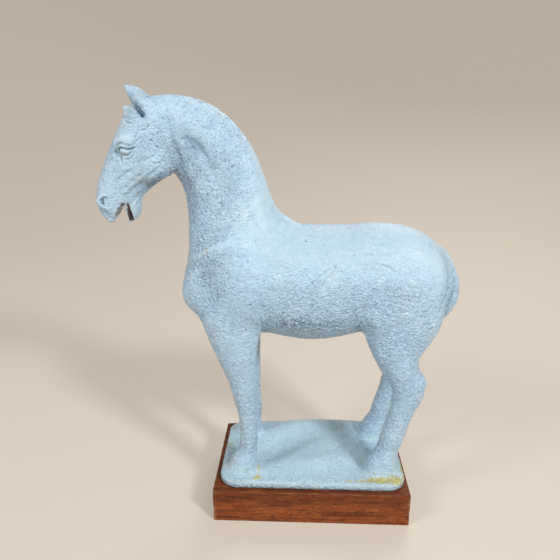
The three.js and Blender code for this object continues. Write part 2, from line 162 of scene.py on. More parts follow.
# Strokes of the modelling tool on both sides of the head and body: line in side view, half
# width, and height above the skin, less than nothing for a groove. They sink by TOOL_DEPTH of
# that height, fade to STROKE_END at both ends, and are made only where the skin faces sideways.
STROKES = [
    # Fold above the eye
    ([(-231.8, 455.5), (-233.4, 461), (-231, 467.4), (-225.7, 469.4), (-221, 468.6),
      (-217, 466.8), (-213, 466.9), (-208.2, 469), (-204.6, 472.5), (-202, 475)], 1.0, -2.2),
    # Rim of the upper lid
    ([(-231.4, 458), (-230.8, 463), (-228.6, 465.7), (-225, 466.8), (-221.3, 466.4),
      (-218, 464.8), (-214.2, 464.9), (-209.5, 466.6), (-205.5, 469.6)], 0.9, 1.5),
    # Dark line between the lids and the eyeball, and the corner of the eye
    ([(-227, 451.5), (-226.2, 455.5), (-228, 458.6), (-228.4, 461.9), (-226.2, 464.1),
      (-223.2, 464.2), (-220.5, 463.2), (-217, 462.1), (-213.9, 462.8), (-209.5, 465)],
     1.05, -2.6),
    ([(-225.4, 456.2), (-221.2, 456), (-218.6, 455.6), (-216.4, 456.9), (-213.4, 459.4)],
     0.9, -2.0),
    ([(-228.5, 455), (-227, 452), (-226.4, 448.5)], 1.5, -1.7),
    # Eyeball, and the lower lid
    ([(-222.4, 460.6), (-218.2, 460.2)], 2.6, 1.2),
    ([(-223.4, 453.8), (-219.8, 453.1), (-216.8, 454.2), (-213.4, 457.4)], 0.8, 1.2),
    ([(-222.6, 451.2), (-218.6, 450.9), (-215.4, 452.3), (-211.6, 456)], 0.9, -1.2),
    # Hollows in front of the eye and below it, and the brow
    ([(-232.8, 464), (-232.6, 459), (-231.2, 454.5)], 2.2, -1.3),
    ([(-224, 446.6), (-214, 447.4), (-205, 452)], 4.0, -0.9),
    ([(-226, 474.6), (-218, 474.8), (-209, 477.4)], 4.0, 0.8),
    ([(-211, 471.9), (-209.2, 470.4), (-211.2, 469.2)], 0.8, -1.2),
    ([(-208.6, 473.6), (-206.6, 477.2)], 0.9, -1.2),
    # Comma of the nostril, and its raised wing
    ([(-248.8, 404.2), (-252.4, 405.4), (-255.8, 402.9), (-255.6, 400.2)], 1.7, -3.2),
    ([(-255.6, 401.6), (-254.3, 399.4), (-253, 396)], 1.3, -2.4),
    ([(-258, 399.6), (-256.8, 395.6), (-253.4, 393.6), (-249.4, 395.6)], 1.2, 1.3),
    ([(-246.5, 407.6), (-253.5, 408.6), (-259, 404.5)], 1.3, 0.9),
    # Folds that run down the cheek to the corner of the mouth
    ([(-239, 423.4), (-229.7, 430.1), (-221, 435.6), (-213, 440), (-204.9, 446.6)], 2.0, -1.4),
    ([(-235, 420), (-226, 426), (-216, 431.6), (-205, 440)], 2.4, 1.2),
    ([(-212.8, 446), (-205, 449.6), (-197, 454)], 1.5, -1.1),
    ([(-204.9, 446), (-198, 451), (-190, 454.6), (-183, 459)], 1.7, -1.2),
    ([(-200, 446.4), (-192, 451), (-184, 454)], 1.6, 0.8),
    ([(-227.3, 407), (-217, 415.5), (-207, 423.6)], 1.9, -1.3),
    ([(-203, 428), (-193, 434.5), (-182, 441)], 2.0, -1.1),
    ([(-231, 410), (-219, 418.6), (-207, 428.6), (-195, 438)], 2.0, 1.2),
    ([(-222, 404.4), (-212.6, 412), (-203, 420.6), (-192, 428.6)], 1.8, 1.2),
    ([(-225, 413.4), (-216, 419), (-209, 426)], 1.6, -0.9),
    ([(-219, 400), (-214, 406.6), (-208, 411.6)], 1.6, -0.9),
    ([(-240, 414), (-235, 421), (-230.6, 424)], 1.0, -0.9),
    ([(-196, 440), (-188, 446), (-178, 449)], 1.6, -0.9),
    ([(-242, 436), (-236, 446), (-231, 450)], 3.4, -0.8),
    # Flat, darker plane at the front of the muzzle, and the sharp edges of the lips
    ([(-259, 393), (-253.4, 388), (-249.6, 381)], 3.0, -1.4),
    ([(-232, 398.4), (-237.6, 391), (-242, 384.6), (-246.6, 376.6)], 1.0, 0.9),
    ([(-222.6, 395), (-221.2, 390), (-221.2, 384), (-221.6, 378.6)], 0.9, 0.8),
    # Inside of the lower lip
    ([(-226.4, 397), (-225.6, 392.3), (-224.9, 387.5), (-224.4, 382), (-224.2, 378)], 1.6, -3.0),
    ([(-225.4, 389), (-225.2, 379)], 3.0, -2.4),
    # Short creases at the temple and under the forelock
    ([(-199.6, 483), (-196, 484.2), (-193.6, 486.8), (-191.2, 489.4)], 0.9, -1.9),
    ([(-200, 487.6), (-196.6, 488), (-192.4, 487.4)], 0.9, -1.0),
    ([(-198, 481), (-194.6, 482), (-191.4, 485)], 1.0, 0.8),
    ([(-221.4, 495), (-216.7, 492.6), (-211, 490.8)], 1.0, -1.9),
    ([(-224, 496.8), (-213.4, 496.6), (-203.3, 497.6)], 1.1, -1.4),
    ([(-222, 494.8), (-212, 494.4), (-201, 495.4)], 1.1, 0.9),
    ([(-178, 500.6), (-176.4, 497), (-173.2, 495.8)], 0.9, -1.6),
    ([(-171.6, 500), (-169.6, 496.4), (-168.4, 491)], 0.9, -1.4),
    ([(-185, 489), (-181, 486), (-178.6, 480)], 1.1, -0.9),
    # Furrow between cheek and neck, and the broad wrinkled one down the neck
    ([(-168, 490), (-164.5, 476), (-161, 462), (-158.6, 448), (-157.6, 437)], 4.5, -1.2),
    ([(-157, 482), (-147, 475.5), (-137, 467), (-128, 456.5), (-120, 444), (-115, 430)], 7.5, -3.2),
    ([(-157, 475), (-148, 476), (-139.5, 472.5), (-130, 463), (-124.5, 453)], 2.0, -1.5),
    ([(-150, 470), (-142, 463), (-136, 455)], 2.2, 0.9),
    # Throat
    ([(-157, 444), (-153.6, 430), (-150, 416), (-146.6, 402)], 5.0, -1.2),
    ([(-151.8, 438), (-148.6, 424), (-145, 410)], 1.6, 0.9),
    # Folds where the neck runs into the chest
    ([(-146, 336), (-127, 346.7), (-110, 355.2), (-94.5, 363.6)], 3.6, 1.3),
    ([(-146, 346.6), (-127, 356), (-107.5, 365.4)], 3.2, -1.2),
    ([(-141, 324), (-124, 334), (-108, 342)], 3.4, -0.8),
    # Edge of the shoulder blade
    ([(-104, 364.4), (-88.8, 379.3), (-75.3, 395.8), (-65.3, 407.3)], 3.6, 0.9),
    ([(-110, 372), (-95, 387), (-82, 402), (-72, 413)], 3.6, -0.8),
    ([(-74, 414), (-68.5, 400), (-62.7, 388)], 2.4, 0.7),
    ([(-80, 404), (-76, 388), (-66, 374)], 3.4, -0.8),
    # Creases of the flank, haunch and chest
    ([(-9.5, 311), (-4.3, 316), (2.5, 321.3), (9.3, 326.5), (17.2, 332)], 0.8, -1.2),
    ([(9.1, 318.1), (15.1, 323.8), (20.7, 329.9)], 0.8, -0.9),
    ([(55, 347.8), (60.7, 347.6), (66.4, 347)], 0.8, -1.2),
    ([(67.5, 337.7), (76.5, 337.2), (84.5, 334), (91.4, 330.3)], 0.9, -1.3),
    ([(-138, 325), (-122, 339.5), (-103, 352)], 3.0, 0.8),
    ([(-66, 296), (-63, 284), (-62, 272)], 4.5, -0.8),
    # Edge of the haunch against the tail
    ([(141, 349), (149.5, 338), (153, 322), (152, 304), (146, 286), (137, 270)], 1.2, 0.9),
    ([(146, 348), (153.6, 336), (157, 321), (156, 303), (150, 285), (141, 268)], 2.2, -1.8),
]

TOOL_DEPTH = 0.75
STROKE_END = 0.35
FACING_SIDE = (0.15, 0.45)

# How far the hand strayed from those lines: steadiest round the eye and the nostril
STEADY_REACH = 0.1
STRAYING_REACH = 0.35
EYE_AREA = (14, 24)
NOSTRIL_AREA = (14, 9)

# Pinholes and dents left by the tool
PINHOLES = [
    (-181.9, 480.7), (-189.6, 472.4), (-183.9, 465.2), (-174.4, 497.6), (-79, 338),
    (-12.3, 359.9), (21.8, 333.8),
]
PINHOLE_WIDTH = 1.2
PINHOLE_DEPTH = 1.8

# Where the brushed skin is smoother: [x, z, half length, half height, turn in degrees, how much]
SMOOTHED = [
    [-226, 480, 13, 16, 60, 0.8], [-214, 504, 14, 9, 0, 0.85], [-208, 517, 10, 16, -60, 0.55],
    [-160, 512, 34, 10, -6, 0.4], [-226, 386, 7, 14, 0, 0.6], [-222, 460, 8, 7, 0, 0.8],
    [146, 330, 16, 34, -20, 0.6], [0, 57, 150, 12, 0, 0.55], [0, 72, 150, 12, 0, 0.45],
    [-246, 420, 10, 20, -20, 0.4], [-80, 370, 26, 9, 42, 0.5], [-70, 392, 18, 7, 55, 0.4],
    # Rougher than the rest, under the belly and on the breast
    [-5, 262, 80, 15, 0, -0.7], [-132, 330, 20, 36, 0, -0.5], [-150, 400, 12, 40, 0, -0.2],
]

# The back is smoothed too, from these heights up and from the neck back. The brush left less
# near the underside, among the head's fine forms and beside the strokes.
BACK_HEIGHTS = (298, 346)
BACK_FRONT = (-100, -60)
BACK_SMOOTHING = 0.76
UNDERSIDE_FADE = (0.8, 3)
FINE_SMOOTHING = 0.3
STROKE_SMOOTHING = 0.6

# Where the skin is crumpled rather than streaked, written the same way
CRUMPLED = [
    [-200, 450, 60, 60, 0, 1.0], [-125, 430, 62, 74, -40, 1.0], [-115, 330, 44, 60, 0, 0.9],
    [-30, 258, 70, 20, 0, 0.8], [-90, 180, 24, 60, 0, 0.6], [110, 150, 30, 60, 0, 0.5],
]

# Painted shade, darker grey, in folds and hollows, under the jaw and low down, written the same way
SHADE_PATCHES = [
    [-143, 468, 18, 8.5, -40, 0.97], [-121, 445, 16, 7, -58, 0.3], [-155, 430, 27, 8, -74, 0.95],
    [-191, 425, 28, 4.6, 32, 0.9], [-214, 386, 8, 14, 0, 0.3],
    [-204.6, 511, 16, 4.2, -56, 1.0], [-197, 500.5, 5, 4, 0, 0.7], [-163, 470, 26, 5, -80, 0.6],
    [-232.4, 459, 3, 6, 90, 0.7], [-220, 454.6, 6, 2, 0, 0.35], [-63, 284, 5, 14, 90, 0.4],
    [-204, 519, 13, 9, -56, 0.55], [156, 306, 6, 40, 4, 0.45], [-253, 388, 9, 3.4, -46, 0.4],
    [-253.5, 401, 7, 6, 0, 0.4], [-214, 503, 11, 7, 0, 0.6], [0, 49, 300, 5, 0, 0.4],
    [0, 145, 300, 80, 0, 0.26], [-95, 200, 26, 44, 0, 0.14],
]


class Wire:
    """A socket in a node tree, which can be used in sums and given to other nodes."""

    def __init__(self, tree, socket=None):
        self.tree = tree
        self.socket = socket

    def node(self, kind, settings=(), sockets=(), out=0):
        """Adds a node with its settings, then its sockets' values or links, for one output."""
        made = self.tree.nodes.new(kind)
        for name, value in dict(settings).items():
            setattr(made, name, value)
        for name, value in dict(sockets).items():
            if isinstance(value, Wire):
                self.tree.links.new(value.socket, made.inputs[name])
            else:
                made.inputs[name].default_value = value
        return Wire(self.tree, made.outputs[out])

    def maths(self, operation, *values):
        return self.node("ShaderNodeMath", {"operation": operation}, dict(enumerate(values)))

    def vector(self, operation, *values):
        return self.node("ShaderNodeVectorMath", {"operation": operation}, dict(enumerate(values)))

    def __add__(self, other):
        return self.maths("ADD", self, other)

    __radd__ = __add__

    def __sub__(self, other):
        return self.maths("SUBTRACT", self, other)

    def __rsub__(self, other):
        return self.maths("SUBTRACT", other, self)

    def __mul__(self, other):
        return self.maths("MULTIPLY", self, other)

    __rmul__ = __mul__

    def within(self, low, high):
        """0 at low, 1 at high and smooth between, also where high is the lower one."""
        if low > high:
            return 1 - self.within(high, low)
        settings = {"interpolation_type": "SMOOTHSTEP"}
        return self.node("ShaderNodeMapRange", settings, {0: self, 1: low, 2: high})

    def noise(self, scale, detail=2.0, roughness=0.5, out=0, **more):
        """Noise at these coordinates, scale features a metre."""
        sockets = {"Vector": self, "Scale": scale, "Detail": detail, "Roughness": roughness, **more}
        settings = {"noise_dimensions": "4D"} if "W" in more else {}
        return self.node("ShaderNodeTexNoise", settings, sockets, out)

    def blended(self, first, second):
        """The colour first where this mask is 0, and second where it is 1."""
        settings = {"data_type": "RGBA"}
        return self.node("ShaderNodeMix", settings, {0: self, 6: first, 7: second}, out=2)

    def scaled(self, amount):
        """This vector times one number, which may itself be a wire."""
        settings = {"operation": "SCALE"}
        return self.node("ShaderNodeVectorMath", settings, {0: self, 3: amount})

    def tipped(self, angle):
        """These coordinates turned about Y, across the horse."""
        settings = {"rotation_type": "Y_AXIS"}
        return self.node("ShaderNodeVectorRotate", settings, {"Vector": self, "Angle": angle})


def new_geometry_tree(name, inputs):
    """An empty Geometry Nodes tree with these named inputs, its input wires and the tree itself."""
    tree = bpy.data.node_groups.new(name, "GeometryNodeTree")
    tree.interface.new_socket("Geometry", in_out="INPUT", socket_type="NodeSocketGeometry")
    tree.interface.new_socket("Geometry", in_out="OUTPUT", socket_type="NodeSocketGeometry")
    for label, kind in inputs:
        tree.interface.new_socket(label, in_out="INPUT", socket_type=kind)
    given = tree.nodes.new("NodeGroupInput")
    wires = {socket.name: Wire(tree, socket) for socket in given.outputs if socket.name}
    return tree, wires


def run_geometry_tree(piece, tree, values):
    modifier = piece.modifiers.new("made", "NODES")
    modifier.node_group = tree
    for socket in tree.interface.items_tree:
        if socket.in_out == "INPUT" and socket.name in values:
            modifier[socket.identifier] = values[socket.name]
    return settled(piece)


def pushed_out(start, geometry, normal, rise):
    """Geometry whose points are moved along the normal by rise, in metres."""
    sockets = {"Geometry": geometry, "Offset": normal.scaled(rise)}
    return start.node("GeometryNodeSetPosition", (), sockets)


def end_geometry_tree(tree, geometry):
    """Ends a tree with real geometry and its material."""
    real = geometry.node("GeometryNodeRealizeInstances", (), {"Geometry": geometry})
    material = next(Wire(tree, s) for n in tree.nodes if n.type == "GROUP_INPUT" for s in n.outputs
                    if s.name == "Material")
    dressed = geometry.node("GeometryNodeSetMaterial", (), {"Geometry": real, "Material": material})
    result = tree.nodes.new("NodeGroupOutput")
    tree.links.new(dressed.socket, result.inputs[0])


OBJECT_COORDINATES = 3


def new_material(name, roughness, **plain):
    """A material's empty tree, its coordinates in metres on the piece, and its shader."""
    material = bpy.data.materials.new(name)
    material.use_nodes = True
    tree = material.node_tree
    shader = tree.nodes["Principled BSDF"]
    shader.inputs["Roughness"].default_value = roughness
    for label, value in plain.items():
        shader.inputs[label.replace("_", " ")].default_value = value
    place = Wire(tree).node("ShaderNodeTexCoord", out=OBJECT_COORDINATES)
    return material, place, shader


def finish_material(place, shader, colour, roughness, height, relief):
    """Joins up colour, roughness and a bump of the given height, whose relief is in metres."""
    sockets = {"Height": height, "Distance": relief, "Strength": 1.0}
    bump = place.node("ShaderNodeBump", (), sockets)
    for label, wire in (("Base Color", colour), ("Roughness", roughness), ("Normal", bump)):
        place.tree.links.new(wire.socket, shader.inputs[label])


# The brushed skin's streaks rise towards the tail, by this slope in radians. A crease opens as
# its noise goes from one value to the next, crumbs stand higher than ledges, and the brush's
# direction wanders, in features a metre.
STREAK_SLOPE = 0.25
CREASE_CUT = (0.6, 0.72)
CRUMB_GAIN = 1.3
SKIN_SEED_STEP = 7.3
WANDER_RATE = 30


def named_attribute(start, name):
    """A point attribute in a Geometry Nodes tree."""
    settings = {"data_type": "FLOAT"}
    return start.node("GeometryNodeInputNamedAttribute", settings, {"Name": name})


def brushed_skin_tree():
    """Crumbs left by a stiff brush, short ledges where it was drawn along, and creases."""
    tree, wires = new_geometry_tree("Brushed skin", [
        ("Crease depth", "NodeSocketFloat"), ("Crease length", "NodeSocketFloat"),
        ("Ledge length", "NodeSocketFloat"), ("Ledge spacing", "NodeSocketFloat"),
        ("Ledge slope", "NodeSocketFloat"), ("Crumb height", "NodeSocketFloat"),
        ("Crumb size", "NodeSocketFloat"), ("Wander", "NodeSocketFloat"),
        ("Seed", "NodeSocketInt"), ("Material", "NodeSocketMaterial"),
    ])
    start = Wire(tree)
    place = start.node("GeometryNodeInputPosition")
    normal = start.node("GeometryNodeInputNormal")
    brushed = named_attribute(start, "brushed")
    crumpled = named_attribute(start, "crumpled")
    seed = wires["Seed"] * SKIN_SEED_STEP
    # The brush's direction wanders over the body
    drift = place.noise(WANDER_RATE, 1, W=seed, out=1)
    drift = drift.vector("SUBTRACT", drift, (0.5, 0.5, 0.5))
    moved = place.vector("ADD", place, drift.scaled(wires["Wander"]))
    turned = moved.tipped(wires["Ledge slope"])

    def cells(coordinates, length, height):
        """Coordinates in cells of this length and height."""
        size = start.node("ShaderNodeCombineXYZ", (), {0: length, 1: length, 2: height})
        return coordinates.vector("DIVIDE", coordinates, size)

    ledges = cells(turned, wires["Ledge length"], wires["Ledge spacing"])
    crumbs = cells(moved, wires["Crumb size"], wires["Crumb size"])
    dashes = cells(turned, wires["Crease length"], wires["Ledge spacing"])
    plates = (ledges.noise(1, 1, 0.5, W=seed + 29) - 0.5) * (1 - crumpled)
    plates = plates + (crumbs.noise(1, 1, 0.5, W=seed + 33) - 0.5) * crumpled * CRUMB_GAIN
    creases = dashes.noise(1, 1, 0.5, W=seed + 1).within(*CREASE_CUT)
    rise = brushed * (plates * wires["Crumb height"] - creases * wires["Crease depth"])
    end_geometry_tree(tree, pushed_out(start, wires["Geometry"], normal, rise))
    return tree


# The paint's colours, from the newest coat to its painted light and shade, stains and the bare cast
PALE_BLUE = (0.375, 0.555, 0.735, 1)
PALER_BLUE = (0.43, 0.61, 0.755, 1)
LILAC_BLUE = (0.43, 0.54, 0.72, 1)
GROUND_LIGHTENED_BLUE = (0.46, 0.63, 0.68, 1)
SMOOTH_SHADE_BLUE = (0.385, 0.535, 0.635, 1)
RUBBED_HIGHLIGHT_BLUE = (0.66, 0.77, 0.86, 1)
CRACK_SHADE_GREY = (0.16, 0.22, 0.30, 1)
HOLLOW_SHADE = (0.09, 0.15, 0.22, 1)
SHADE_GREY = (0.14, 0.22, 0.32, 1)
OCHRE = (0.46, 0.42, 0.11, 1)
GREY_GREEN = (0.30, 0.38, 0.32, 1)
BARE_RIM_AND_SHADE = (0.10, 0.050, 0.038, 1)
MOUTH_SHADE_BLACK = (0.036, 0.036, 0.040, 1)

# Its finest relief: features a metre, and how far ledges and cracks are drawn out
LEDGE_RATE = 430
FLAKE_RATE = 500
CRACK_RATE = 420
GRAIN_RATE = 1300
LEDGE_STRETCH = (0.8, 0.8, 1.1)
CRACK_STRETCH = (0.3, 0.3, 1.2)
BEND_RATE = 55
BEND = (0.012, 0.012, 0.012)
SKIN_RELIEF = 3.2
CRACK_RELIEF = 0.5
GRAIN_RELIEF = 0.04
PAINT_RELIEF = 1.3 * MM

# Its clouding, in features a metre
PATCH_RATE = 16
LILAC_RATE = 42
WASH_RATE = 260
FLECK_RATE = 420


def blue_paint():
    """Pale blue satin paint on a flaky skin, with painted light and shade, ochre and grey-green."""
    material, place, shader = new_material("blue paint", 0.35, Specular_IOR_Level=0.55)
    mark = {name: place.node("ShaderNodeAttribute", {"attribute_name": name}, out=2)
            for name in ("hollow", "bare_and_shaded", "stained", "grey_green", "brushed", "crumpled", "painted_shade")}
    # The finest relief, too small for the mesh: streaks on the body, flakes on neck and face
    drift = place.noise(BEND_RATE, 1, 0.5, out=1)
    bent = place.vector("ADD", place, drift.vector("MULTIPLY", drift, BEND))
    turned = bent.tipped(STREAK_SLOPE)
    ledges = turned.vector("MULTIPLY", turned, LEDGE_STRETCH)
    dashes = turned.vector("MULTIPLY", turned, CRACK_STRETCH)
    crumpled = mark["crumpled"]
    skin = ledges.noise(LEDGE_RATE, 2, 0.55, W=2.0) * (1 - crumpled)
    skin = skin + bent.noise(FLAKE_RATE, 2, 0.55, W=6.0) * crumpled
    cracked = dashes.noise(CRACK_RATE, 1, 0.5, W=11.0).within(*CREASE_CUT)
    cracked = cracked * mark["brushed"].within(0.05, 0.6)
    grain = place.noise(GRAIN_RATE, 2, 0.6)

    # The coat: clouded, lilac in places, greener on the ground and duller where it is smooth
    patches = place.noise(PATCH_RATE, 3, 0.6)
    cloudy = patches.within(0.35, 0.66).blended(PALE_BLUE, PALER_BLUE)
    cooler = place.noise(LILAC_RATE, 2, 0.5).within(0.48, 0.66)
    lilac = (cooler * 0.28).blended(cloudy, LILAC_BLUE)
    height_up = place.node("ShaderNodeSeparateXYZ", (), {0: place}, out=2)
    ground = height_up.within((GROUND_TOP + 6) * MM, GROUND_TOP * MM)
    # Painted light: the ground is painted lighter as well as greener, standing in for light on it
    ground_lightened = (ground * 0.6).blended(lilac, GROUND_LIGHTENED_BLUE)
    # Painted shade: smooth skin, the back among it, is painted duller and less blue for the light
    # on top
    smooth = (mark["brushed"].within(0.6, 0.15) * 0.9).blended(ground_lightened, SMOOTH_SHADE_BLUE)
    # Painted light and shade: paler on the high places, partly rubbed and partly painted highlight,
    # and darker in cracks, hollows and folds as painted shade
    worn_and_highlit = (mark["hollow"].within(0.33, 0.0) * 0.25).blended(smooth, RUBBED_HIGHLIGHT_BLUE)
    crack_shaded = (cracked * 0.15).blended(worn_and_highlit, CRACK_SHADE_GREY)
    hollow_shaded = (mark["hollow"].within(0.45, 0.9) * 0.5).blended(crack_shaded, HOLLOW_SHADE)
    # Painted shade, darker grey and uneven, where the shade patches lie
    uneven = 0.55 + 0.45 * place.noise(WASH_RATE, 3, 0.6).within(0.6, 0.4)
    painted_shade = (mark["painted_shade"] * uneven).blended(hollow_shaded, SHADE_GREY)
    # Stains, and the mouth: bare where the paint has come off, with painted shade inside it
    flecks = place.noise(FLECK_RATE, 3, 0.6).within(0.44, 0.58)
    ochre = (mark["stained"] * (0.45 + 0.8 * flecks)).within(0.15, 0.6).blended(painted_shade, OCHRE)
    grey_greened = (mark["grey_green"] * (0.5 + flecks)).within(0.25, 0.9).blended(ochre, GREY_GREEN)
    reddish = mark["bare_and_shaded"].within(0.1, 0.35).blended(grey_greened, BARE_RIM_AND_SHADE)
    brown = mark["bare_and_shaded"].within(0.5, 0.9).blended(reddish, MOUTH_SHADE_BLACK)

    height = skin * (0.12 + 0.88 * mark["brushed"]) * SKIN_RELIEF
    height = height - cracked * CRACK_RELIEF + grain * GRAIN_RELIEF
    sheen = mark["brushed"].within(0.1, 1.0)
    roughness = 0.42 - 0.27 * sheen + 0.14 * patches + mark["bare_and_shaded"] * 0.3
    finish_material(place, shader, brown, roughness, height, PAINT_RELIEF)
    return material


def left_by_patches(x, z, patches):
    """What is left of 1 after each patch in side view has taken its share."""
    left = np.ones(len(x))
    for x0, z0, long, high, turn, share in patches:
        c, s = math.cos(math.radians(turn)), math.sin(math.radians(turn))
        along = (c * (x - x0) + s * (z - z0)) / long
        across = (c * (z - z0) - s * (x - x0)) / high
        left *= 1 - share * np.exp(-along ** 2 - across ** 2)
    return left


def set_attribute(mesh, name, values):
    layer = mesh.attributes.get(name) or mesh.attributes.new(name, "FLOAT", "POINT")
    layer.data.foreach_set("value", values.astype(np.float32))


def wandering(x, z, reach):
    """Places in side view pushed about by reach, so that a straight stroke comes out uneven."""
    sway = np.sin(0.41 * z + 0.23 * x) + 0.35 * np.sin(0.93 * z - 0.37 * x + 1)
    lift = np.sin(0.37 * x - 0.31 * z + 2) + 0.35 * np.sin(0.87 * x + 0.43 * z)
    return x + reach * sway, z + reach * lift


def model_horse():
    piece = merged_copy("horse", "cast_horse")
    low, high = (np.array(corner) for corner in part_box("horse"))
    with_modifier(piece, "REMESH", mode="VOXEL", voxel_size=SKIN_VOXEL)
    # The head has the finest forms, so its mesh is twice as fine
    shell = bmesh.new()
    shell.from_mesh(piece.data)
    head = [edge for edge in shell.edges
            if all(v.co.x < HEAD_REAR * MM and v.co.z > HEAD_BOTTOM * MM for v in edge.verts)]
    bmesh.ops.subdivide_edges(shell, edges=head, cuts=1, use_grid_fill=True)
    shell.to_mesh(piece.data)
    shell.free()

    edges = edges_of(piece.data)
    points = points_of(piece.data)
    x, y, z = points.T / MM
    fine = ramp(x, *FINE_FORWARD) * ramp(z, *FINE_UPWARD)
    points = evened(points, edges, FACET_SMOOTHING, 1 - FINE_KEPT * fine)
    move_points(piece.data, points)

    x, y, z = points.T / MM
    normals = normals_of(piece.data)
    outward = np.sign(y) == np.sign(normals[:, 1])
    sideways = ramp(np.abs(normals[:, 1]), *FACING_SIDE) * outward
    rise = np.zeros(len(x))
    off_eye = ramp(np.hypot(x - EYE[0], z - EYE[1]), *EYE_AREA)
    near_nose = ramp(np.hypot(x - NOSTRIL[0], z - NOSTRIL[1]), *NOSTRIL_AREA)
    reach = STEADY_REACH + STRAYING_REACH * off_eye * (1 - near_nose)
    uneven_x, uneven_z = wandering(x, z, reach)
    for line, width, height in STROKES:
        far, along = line_distance(uneven_x, uneven_z, line)
        swell = np.sin(np.pi * along.clip(0.02, 0.98)) ** 0.5
        ends = STROKE_END + (1 - STROKE_END) * swell
        rise += TOOL_DEPTH * height * np.exp(-(far / width) ** 2) * ends
    for x0, z0 in PINHOLES:
        rise -= PINHOLE_DEPTH * np.exp(-((x - x0) ** 2 + (z - z0) ** 2) / PINHOLE_WIDTH ** 2)
    points = points + normals * (rise * sideways * MM)[:, None]
    move_points(piece.data, points)

    x, y, z = points.T / MM
    flat_under = ramp(z, *(low[2] / MM + above for above in UNDERSIDE_FADE))
    near_stroke = np.abs(rise * sideways).clip(0, 1)
    on_back = ramp(z, *BACK_HEIGHTS) * ramp(x, *BACK_FRONT)
    brushed = left_by_patches(x, z, SMOOTHED) * (1 - BACK_SMOOTHING * on_back)
    brushed *= flat_under * (1 - FINE_SMOOTHING * fine) * (1 - STROKE_SMOOTHING * near_stroke)
    set_attribute(piece.data, "brushed", brushed)
    set_attribute(piece.data, "crumpled", 1 - left_by_patches(x, z, CRUMPLED))
    set_attribute(piece.data, "painted_shade", 1 - left_by_patches(x, z, SHADE_PATCHES))
    set_attribute(piece.data, "tooled", (-rise * sideways).clip(0, 2))
    return piece, low, high


def attribute_of(mesh, name):
    values = np.empty(len(mesh.vertices), np.float32)
    mesh.attributes[name].data.foreach_get("value", values)
    return values.astype(float)


def spots(points, places):
    """The sum of soft spots [x, y, z, half sizes along each, strength] at points in millimetres."""
    x, y, z = points.T
    total = np.zeros(len(x))
    for x0, y0, z0, long, wide, high, share in places:
        away = ((x - x0) / long) ** 2 + ((y - y0) / wide) ** 2 + ((z - z0) / high) ** 2
        total += share * np.exp(-away)
    return total.clip(0, 1)


# Painted shade in hollows and painted light on high places: the hollow's level on flat skin,
# what a tool stroke and a hollow add, after which rounds of evening the hollow is measured,
# and how little of it shows near the ground
HOLLOW_LEVEL = 0.3
TOOL_SHADE = 0.12
HOLLOW_GAIN = 0.4
HOLLOW_ROUNDS = (2, 6)
GROUND_SHARE = 0.25
ABOVE_GROUND = (66, 84)

# The mouth is bare, with painted shade: the lower lip's inside, its corner and the upper lip's edge
MOUTH_INSIDE = [(-226.6, 397), (-225.6, 391), (-224.9, 385), (-224.6, 379)]
MOUTH_TOP = 396
MOUTH_CORNER = (-228, 397)
UPPER_LIP_EDGE = [(-231, 399.4), (-236.8, 392), (-241.4, 385.6), (-245, 378)]
LIP_HALF_WIDTH = 1.7
LIP_FLARE = 1.8
LIP_FLARE_END = 384
LIP_EDGE_SHADE = 0.45


def colour_marks(mesh):
    """Marks on the skin: how hollow it is, where the mouth is bare and has painted shade, and
    stains.
    """
    points = points_of(mesh)
    normals = normals_of(mesh)
    edges = edges_of(mesh)
    x, y, z = points.T / MM
    around = points
    hollow = np.full(len(x), HOLLOW_LEVEL) + TOOL_SHADE * attribute_of(mesh, "tooled")
    gain = HOLLOW_GAIN * (GROUND_SHARE + (1 - GROUND_SHARE) * ramp(z, *ABOVE_GROUND))
    for done in range(1, HOLLOW_ROUNDS[-1] + 1):
        around = neighbour_mean(around, edges)
        if done in HOLLOW_ROUNDS:
            hollow += gain * ((around - points) * normals).sum(1) / MM
    set_attribute(mesh, "hollow", hollow.clip(0, 1))

    # The lower lip's inside: reddish and bare at its rim, near black with painted shade deeper in
    lip, _ = line_distance(x, z, MOUTH_INSIDE)
    wide = LIP_HALF_WIDTH + LIP_FLARE * ramp(z, MOUTH_TOP, LIP_FLARE_END)
    near_lip = ramp(lip, wide, wide - 1) * (0.45 + 0.55 * ramp(z, MOUTH_TOP, 388))
    # Near black painted shade in the corner, inside the mouth
    from_corner = np.hypot(x - MOUTH_CORNER[0], z - MOUTH_CORNER[1])
    corner = ramp(from_corner, 7, 4) * ramp(np.abs(normals[:, 1]), 0.4, 0.2)
    # A broken dark line of painted shade along the upper lip's edge, where the mouth opens
    upper, _ = line_distance(x, z, UPPER_LIP_EDGE)
    broken = ramp(np.sin(2.1 * z + 1.3 * x), -0.7, 0.1)
    lip_edge_shade = LIP_EDGE_SHADE * ramp(upper, 0.9, 0.4) * broken
    set_attribute(mesh, "bare_and_shaded", np.maximum.reduce([near_lip, corner, lip_edge_shade]))
    set_attribute(mesh, "stained", spots(points / MM, STAINS))
    set_attribute(mesh, "grey_green", spots(points / MM, GREY_GREEN_SPOTS))


# Ochre stains: [x, y, z, half sizes along each, strength]. Most are on the ground's near edge.
STAINS = [
    [84, -65, 55, 20, 4.5, 5, 1.0], [108, -62, 55, 13, 7, 5, 1.0], [48, -66, 55, 16, 2.5, 4, 0.55],
    [-70, -64, 54, 7, 4, 4, 0.9], [-69, -50, 56, 1.3, 12, 6, 0.9], [119, -40, 54, 2.5, 24, 5, 0.6],
    [-112, 10, 55, 7, 16, 6, 0.4], [-130, -38, 348, 6, 12, 6, 0.4], [-104, -12, 56, 2, 3, 4, 0.8],
]

# Darker grey-green spots in sheltered places, written the same way
GREY_GREEN_SPOTS = [
    [-104, -34, 56, 9, 8, 6, 0.9], [-98, 20, 57, 10, 6, 6, 0.6], [-214, 0, 504, 12, 12, 8, 0.45],
    [20, -10, 58, 30, 10, 8, 0.3],
]

